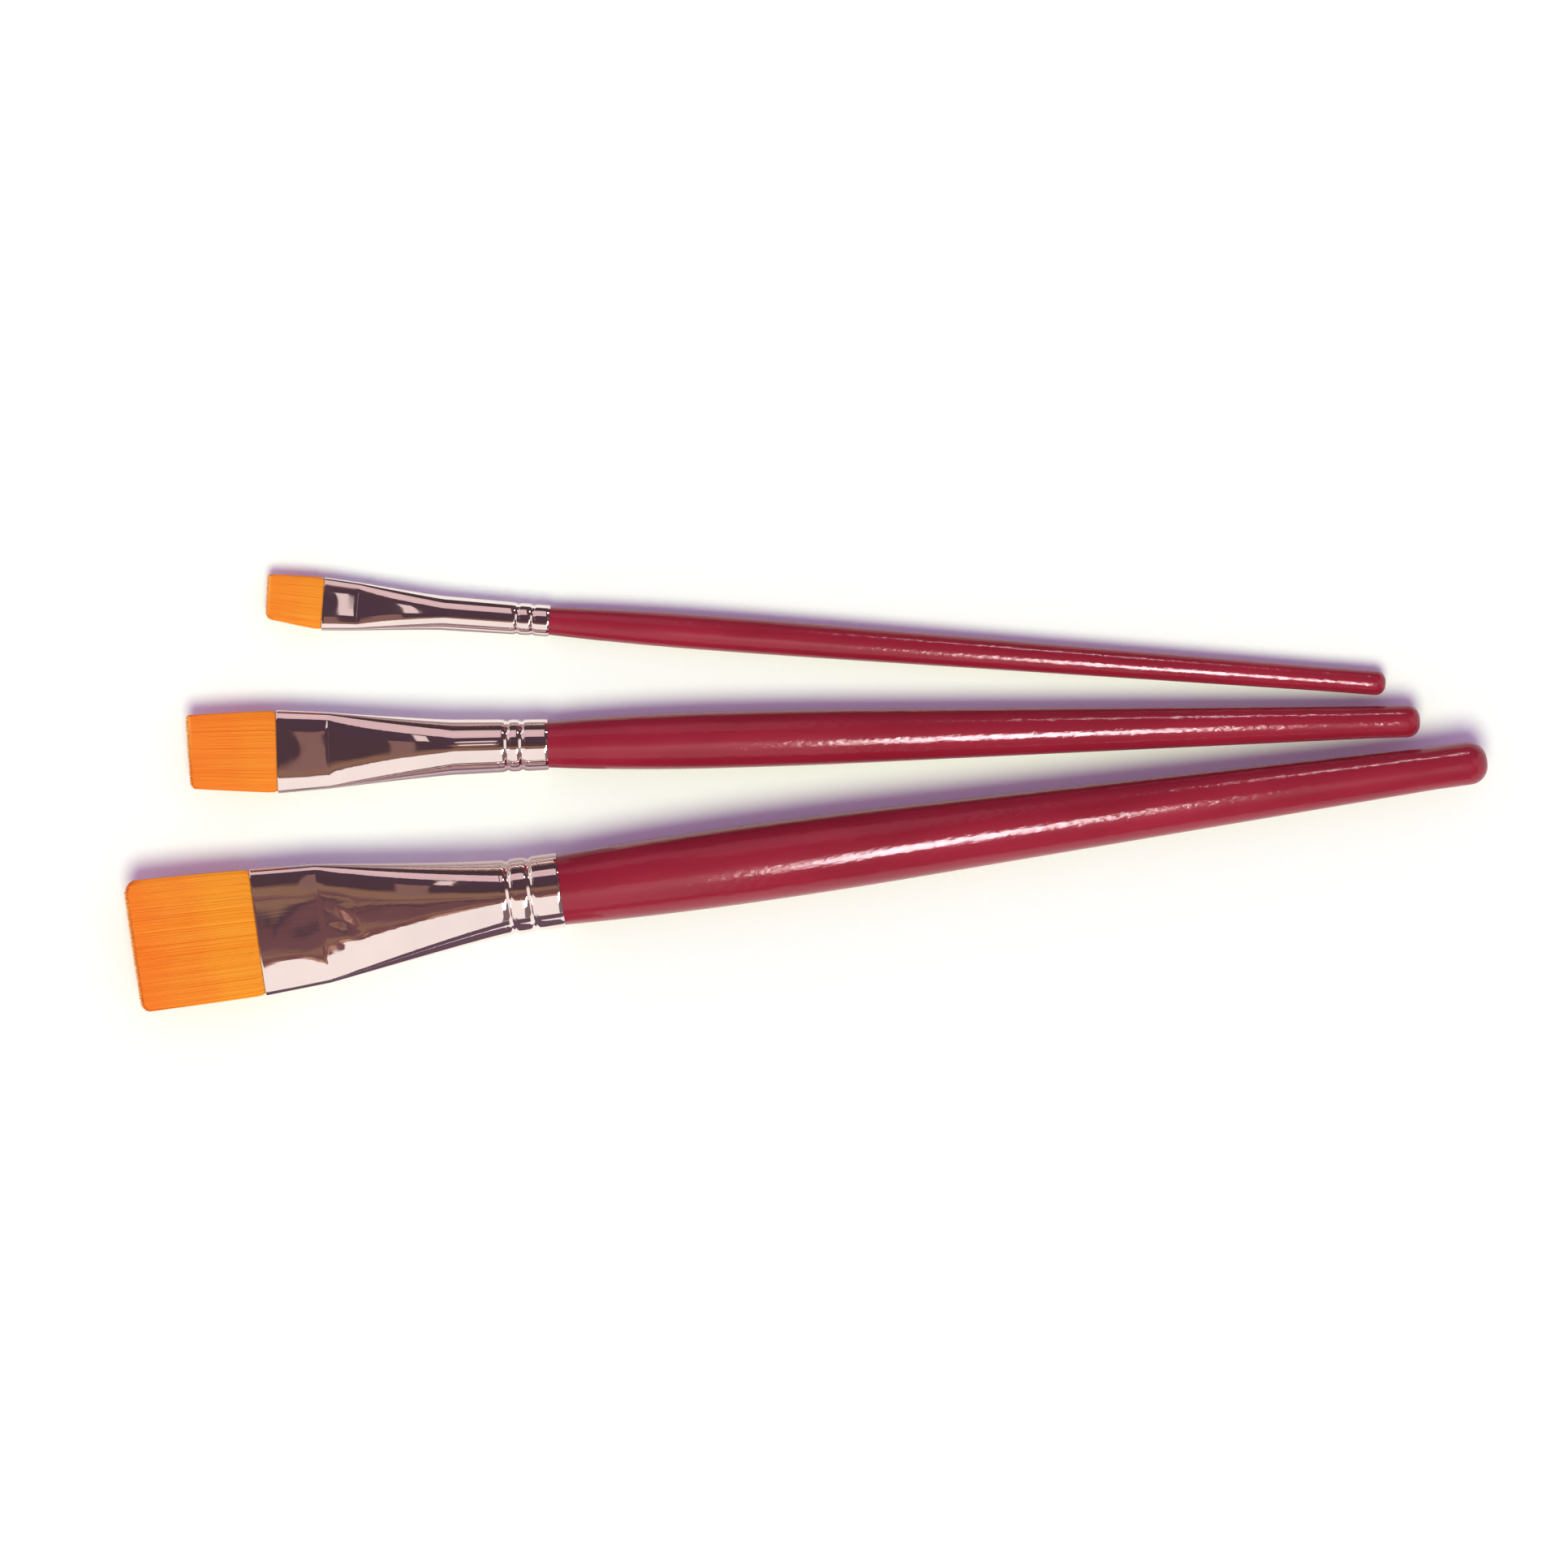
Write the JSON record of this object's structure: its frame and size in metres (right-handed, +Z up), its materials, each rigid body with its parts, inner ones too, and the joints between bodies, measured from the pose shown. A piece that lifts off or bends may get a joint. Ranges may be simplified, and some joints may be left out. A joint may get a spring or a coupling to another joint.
{
  "type": "flat brush set",
  "caption": "Set of flat square-cut brushes in graded widths, with golden bristles, crimped metal ferrules and red lacquered wooden handles, lying in a fan.",
  "frame": {"origin": "middle of the set's bounding box, on the table that the handles' bellies rest on", "axes": "+X along the medium brush from its bristles to its tail, +Y from the large brush to the small one, +Z up from the table"},
  "size_m": [0.205, 0.0653, 0.0117],
  "materials": {
    "lacquered_wood": "high gloss red lacquer over turned hardwood",
    "polished_ferrule": "polished, drawn and pressed tube",
    "set_resin": "clear amber resin, set hard",
    "golden_bristle": "fine tapered synthetic filament, satin"
  },
  "bodies": {
    "large_brush": {"large_handle": "lacquered_wood", "large_ferrule": "polished_ferrule", "large_resin_plug": "set_resin", "large_bristles": "golden_bristle"},
    "medium_brush": {"medium_handle": "lacquered_wood", "medium_ferrule": "polished_ferrule", "medium_resin_plug": "set_resin", "medium_bristles": "golden_bristle"},
    "small_brush": {"small_handle": "lacquered_wood", "small_ferrule": "polished_ferrule", "small_resin_plug": "set_resin", "small_bristles": "golden_bristle"}
  },
  "joints": [
    {"name": "medium_lift", "type": "slide", "parent": "large_brush", "child": "medium_brush", "axis": [0, 0, 1], "range_m": [0, 0.1]},
    {"name": "small_lift", "type": "slide", "parent": "large_brush", "child": "small_brush", "axis": [0, 0, 1], "range_m": [0, 0.1]}
  ]
}
